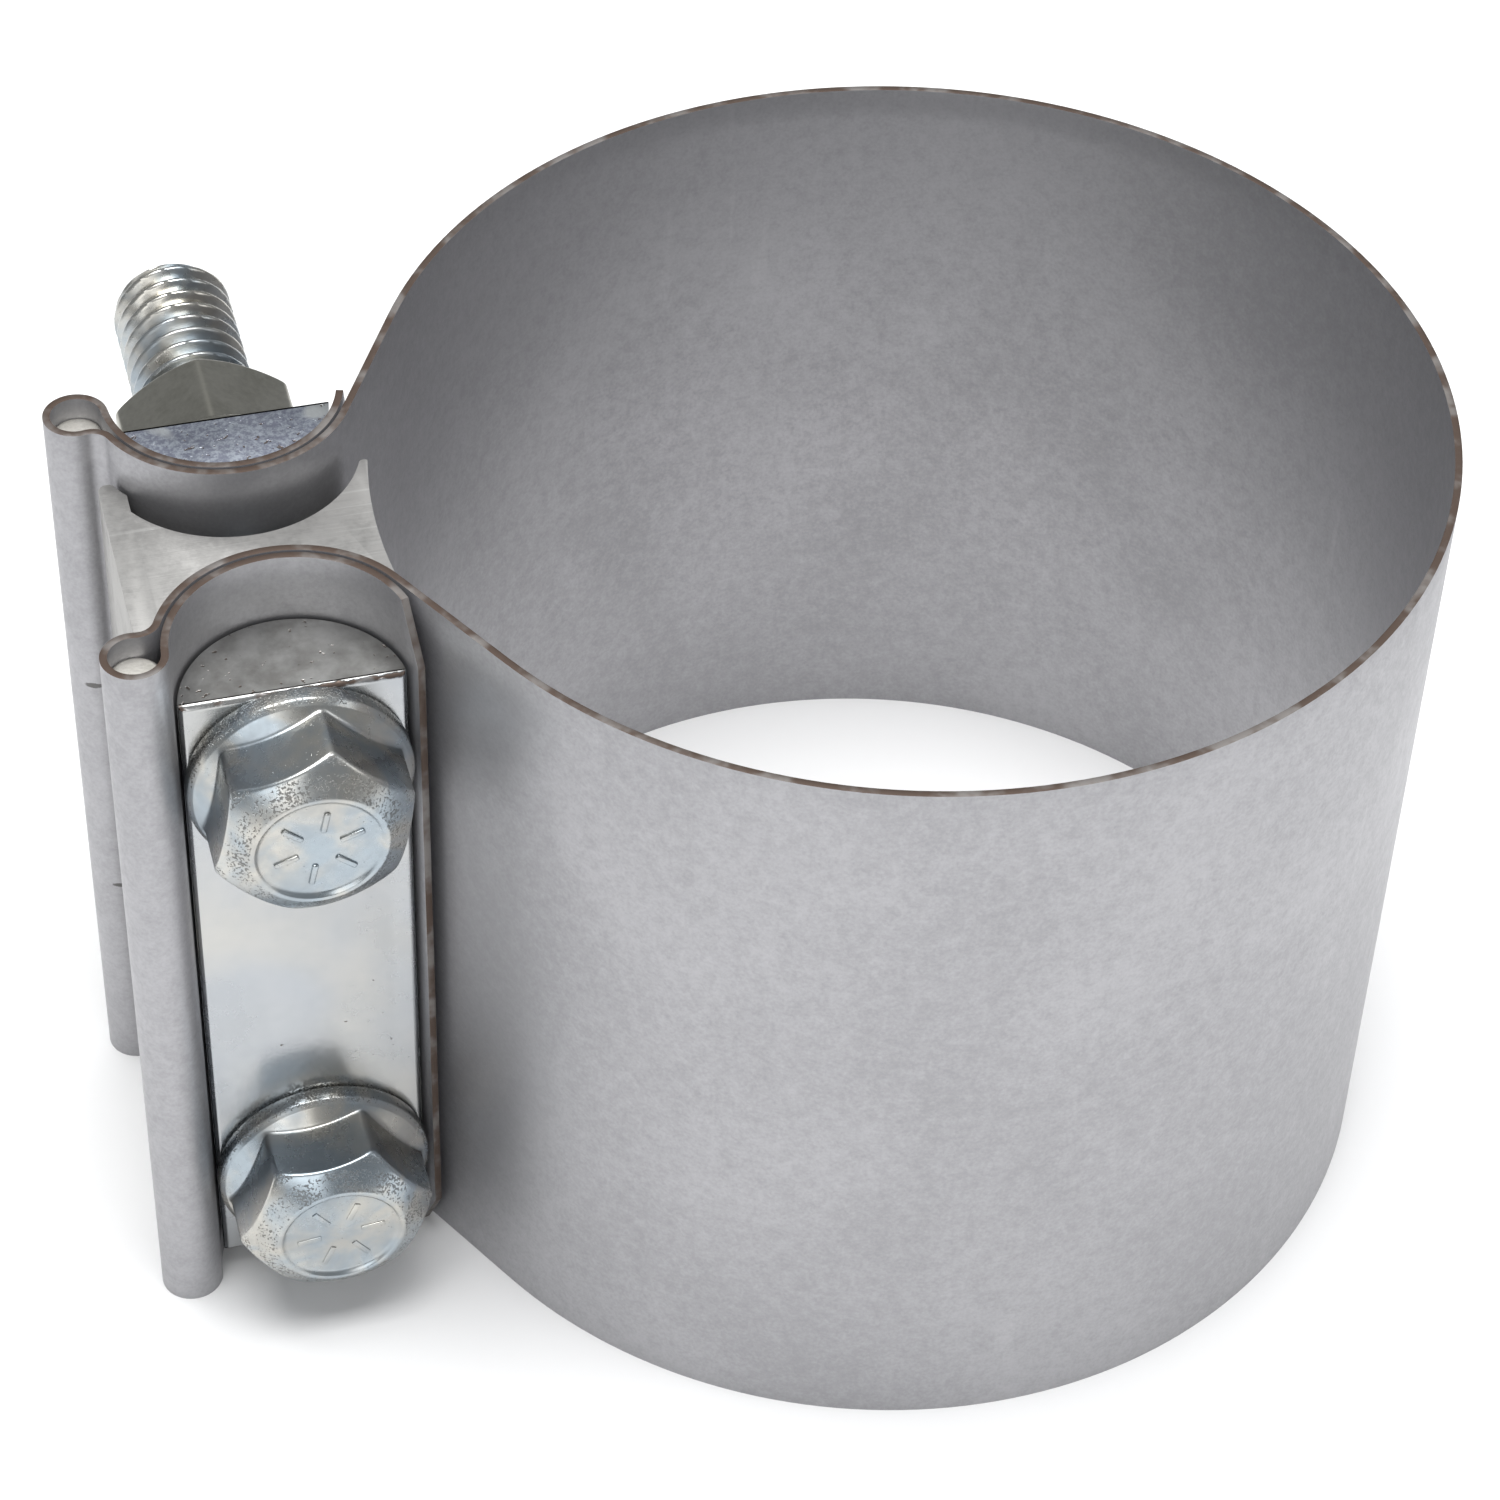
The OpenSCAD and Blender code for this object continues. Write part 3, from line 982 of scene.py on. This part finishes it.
def shapeHexagon(piece, h):
    # the round head's side moves in to six flats, under a crown and above a cone to the flange
    inner = h["endRadius"]
    corner = h["halfFlats"] / math.cos(math.radians(30))
    crownWidth = corner - inner + 0.25 * mm
    slope = (h["flangeRadius"] - h["coneRadius"]) / (h["coneTop"] - h["flangeThick"])
    for vertex in piece.data.vertices:
        radius = math.hypot(vertex.co.x, vertex.co.y)
        height = vertex.co.z
        if radius < inner - near or height < h["flangeThick"] + 0.1 * mm:
            continue
        drop = h["headHeight"] - height
        if drop <= 0:
            scaleOut(vertex, radius, inner)
            continue
        crown = inner + crownWidth * (1 - max(1 - drop / h["crownDrop"], 0) ** h["crownPower"])
        if drop > 0.9 * h["crownDrop"]:
            crown = corner + mm
        cone = h["coneRadius"] + (h["coneTop"] - height) * slope
        cone = smoothMin(cone, h["flangeRadius"] - 0.1 * mm, 0.3 * mm)
        angle = math.atan2(vertex.co.y, vertex.co.x)
        side = smoothMax(hexRadius(angle, h["halfFlats"], h["sharpness"]), cone, h["coneBlend"])
        scaleOut(vertex, radius, smoothMin(side, crown, h["crownBlend"]))
    piece.data.update()


def threadRadius(height, angle, b):
    # rounded V thread, cut away at the tip and run out at the shank
    start = b["length"] - b["thread"]
    turn = (height / b["pitch"] - angle / (2 * math.pi)) % 1
    wave = abs(2 * turn - 1)                       # 1 at the crest
    shape = min(max((wave - b["rootShare"]) / b["flankShare"], 0), 1)
    runOut = min(max((height - start) / b["runOut"], 0), 1)
    radius = b["radius"] - b["depth"] * (1 - shape) * runOut
    tip = b["radius"] - b["tipCut"] + (b["length"] - height)
    return min(radius, tip)


def makeShank(b):
    # under the head at the origin, its tip towards +Z
    start = b["length"] - b["thread"] - b["leadIn"]
    threaded = b["thread"] + b["leadIn"]
    count = round(threaded / b["ringStep"])
    points = [(poleRadius, -b["buried"]), (b["radius"], -b["buried"])]
    points += [(b["radius"], start + i * threaded / count) for i in range(count + 1)]
    points += [(b["radius"] - b["tipCut"] - 0.5 * mm, b["length"]), (poleRadius, b["length"])]
    piece = lathe("shank", points, 80, False)
    for vertex in piece.data.vertices:
        radius = math.hypot(vertex.co.x, vertex.co.y)
        if vertex.co.z > start - 0.1 * mm and radius > b["radius"] - 0.1 * mm:
            angle = math.atan2(vertex.co.y, vertex.co.x)
            scaleOut(vertex, radius, threadRadius(vertex.co.z, angle, b))
    closePoles(piece)
    return piece


def closePoles(piece):
    # the two tiny rings on the axis become single points
    def onAxis(co):
        return math.hypot(co.x, co.y) < 2 * poleRadius

    only(piece)
    bpy.ops.object.mode_set(mode="EDIT")
    for end in (min, max):
        mesh = bmesh.from_edit_mesh(piece.data)
        level = end(v.co.z for v in mesh.verts if onAxis(v.co))
        pickVertices(lambda co: onAxis(co) and abs(co.z - level) < near)
        bpy.ops.mesh.merge(type="CENTER")
    cleanUp(piece)


def makeHead(h):
    top = h["headHeight"]
    floor = top - h["dishDepth"]
    rim = h["dishRadius"]
    # a flat dish floor that rises to a narrow raised rim
    points = [(poleRadius, floor), (rim - 0.75 * mm, floor), (rim - 0.5 * mm, floor + 0.06 * mm),
              (rim - 0.3 * mm, floor + 0.22 * mm), (rim - 0.16 * mm, top - 0.04 * mm), (rim - 0.06 * mm, top),
              (rim + 0.1 * mm, top)]
    points += headPoints(h)
    points += [(poleRadius, 0)]
    piece = lathe("head", points, h["steps"], False)
    shapeHexagon(piece, h)
    closePoles(piece)
    return piece


def makeMarks(height, b):
    # six plain raised strokes on the dish's floor
    marks = []
    for i in range(6):
        selectNone()
        bpy.ops.mesh.primitive_cube_add(size=1, location=(0, 0, 0))
        mark = bpy.context.object
        mark.scale = (b["markLength"], b["markWidth"], 2 * height)
        bpy.ops.object.transform_apply(location=False, rotation=False, scale=True)
        modify(mark, "BEVEL", width=height * 0.8, segments=3)
        mark.data.transform(Matrix.Rotation(math.radians(60 * i), 4, "Z")
                            @ Matrix.Translation((b["markPlace"], 0, b["headHeight"] - b["dishDepth"])))
        marks.append(mark)
    return marks


def pitZone(co, b):
    # 1 on the crown round the dish and on the flange rim, 0 elsewhere
    radius = math.hypot(co.x, co.y)
    drop = b["headHeight"] - co.z
    if co.z < 0:
        return 0.0
    crownEdge = b["dishRadius"] + 0.3 * mm
    onCrown = radius > crownEdge and drop < b["pitDrop"] + 1.2 * max(radius - b["halfFlats"], 0)
    onRim = radius > b["flangeRadius"] - 0.35 * mm and co.z < b["flangeThick"] + 0.1 * mm
    return 1.0 if onCrown or onRim else 0.0


def makeBolt(name, node, shapes, turn, markHeight, b):
    # turned about its axis, then laid with its head towards -Y
    low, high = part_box(node)
    centre = (low + high) / 2
    head, shank = shapes
    piece = copyOf(head, name)
    cutWith(piece, makeMarks(markHeight, b), "UNION")
    cutWith(piece, [copyOf(shank, "shank")], "UNION")
    zone = piece.data.attributes.new("pitZone", "FLOAT", "POINT")
    zone.data.foreach_set("value", [pitZone(v.co, b) for v in piece.data.vertices])
    piece.data.transform(Matrix.Rotation(math.radians(turn), 4, "Z"))
    piece.data.transform(Matrix.Translation((centre.x, low.y + b["headHeight"], centre.z))
                         @ Matrix.Rotation(math.pi / 2, 4, "X"))
    piece.data.update()
    cleanUp(piece)
    finishPiece(piece, node, [node], [zincPlate], 50)


print("bolts")
boltShapes = [makeHead(bolt), makeShank(bolt)]
boltShapes[1].data.transform(Matrix.Rotation(math.pi, 4, "X"))      # its tip away from the head
makeBolt("boltUpper", "bolt_upper", boltShapes, 78, 0.24 * mm, bolt)
makeBolt("boltLower", "bolt_lower", boltShapes, 66, 0.12 * mm, bolt)
for shape in boltShapes:
    bpy.data.objects.remove(shape)


def makeNut(n):
    # bearing face at the origin, far end towards +Y
    top = n["headHeight"]
    points = [(n["boreRadius"], top - 0.9 * mm), (n["boreRadius"] + 0.75 * mm, top)]
    points += headPoints(n)
    points += [(n["boreRadius"] + 0.8 * mm, 0), (n["boreRadius"], 0.8 * mm)]
    piece = lathe("nut", points, n["steps"], True)
    shapeHexagon(piece, n)
    piece.data.transform(Matrix.Rotation(-math.pi / 2, 4, "X")
                         @ Matrix.Rotation(math.radians(n["turn"]), 4, "Z"))
    piece.data.update()
    cleanUp(piece)
    return piece


print("nuts")
nutShape = makeNut(nut)
for name, node in (("nutUpper", "nut_upper"), ("nutLower", "nut_lower")):
    piece = copyOf(nutShape, name)
    low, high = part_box(node)
    piece.data.transform(Matrix.Translation(((low.x + high.x) / 2, low.y, (low.z + high.z) / 2)))
    finishPiece(piece, node, [node], [oliveZinc], 50)
bpy.data.objects.remove(nutShape)


# floor, light and camera

studio = {
    "floor": (0.9, 0.9, 0.9),
    "floorSize": 4,
    "sky": (0.95, 0.975, 1.0),
    "skyLevel": 0.33,
    # place, size and power of each softbox, all aimed at the origin
    "softboxes": {
        "top": ((-0.05, 0.0, 1.6), 1.1, 37),
        "front": ((-0.5, -1.1, 0.55), 0.7, 3),
        "side": ((0.9, -0.5, 0.6), 0.5, 1.2),
    },
}


def makeStage(s):
    selectNone()
    bpy.ops.mesh.primitive_plane_add(size=s["floorSize"], location=(0, 0, cadLow.z))
    floor = bpy.context.object
    floor.name = "floor"
    paint = bpy.data.materials.new("floorPaint")
    paint.use_nodes = True
    shader = paint.node_tree.nodes["Principled BSDF"]
    shader.inputs["Base Color"].default_value = (*s["floor"], 1)
    shader.inputs["Roughness"].default_value = 0.9
    floor.data.materials.append(paint)
    floor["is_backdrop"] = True


def addSoftbox(name, place, size, power):
    light = bpy.data.lights.new(name, "AREA")
    light.shape = "SQUARE"
    light.size = size
    light.energy = power
    lamp = bpy.data.objects.new(name, light)
    bpy.context.scene.collection.objects.link(lamp)
    lamp.location = place
    lamp.rotation_euler = (-Vector(place)).to_track_quat("-Z", "Y").to_euler()


def makeLight(s):
    world = bpy.data.worlds.new("studio")
    bpy.context.scene.world = world
    world.use_nodes = True
    sky = world.node_tree.nodes["Background"].inputs
    sky["Color"].default_value = (*s["sky"], 1)
    sky["Strength"].default_value = s["skyLevel"]
    for name, (place, size, power) in s["softboxes"].items():
        addSoftbox(name, place, size, power)


camera = {
    "aim": (-14.12 * mm, 1.55 * mm, 0),
    "distance": 437.2 * mm,
    "turn": -16.689,      # degrees about Z, where 0 looks along +Y
    "tilt": -44.286,
    "roll": 2.346,
    "focal": 104.52,      # on a sensor of this width, in millimetres
    "sensor": 36,
}


def makeCamera(c):
    data = bpy.data.cameras.new("camera")
    data.lens = c["focal"]
    data.sensor_width = c["sensor"]
    data.clip_start = 10 * mm
    eye = bpy.data.objects.new("camera", data)
    bpy.context.scene.collection.objects.link(eye)
    looking = (Matrix.Rotation(math.radians(c["turn"]), 4, "Z")
               @ Matrix.Rotation(math.radians(90 + c["tilt"]), 4, "X")
               @ Matrix.Rotation(math.radians(c["roll"]), 4, "Z"))
    eye.matrix_world = Matrix.Translation(c["aim"]) @ looking @ Matrix.Translation((0, 0, c["distance"]))
    bpy.context.scene.camera = eye


print("stage")
makeStage(studio)
makeLight(studio)
makeCamera(camera)
bpy.context.scene.view_settings.view_transform = "Standard"

low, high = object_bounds()
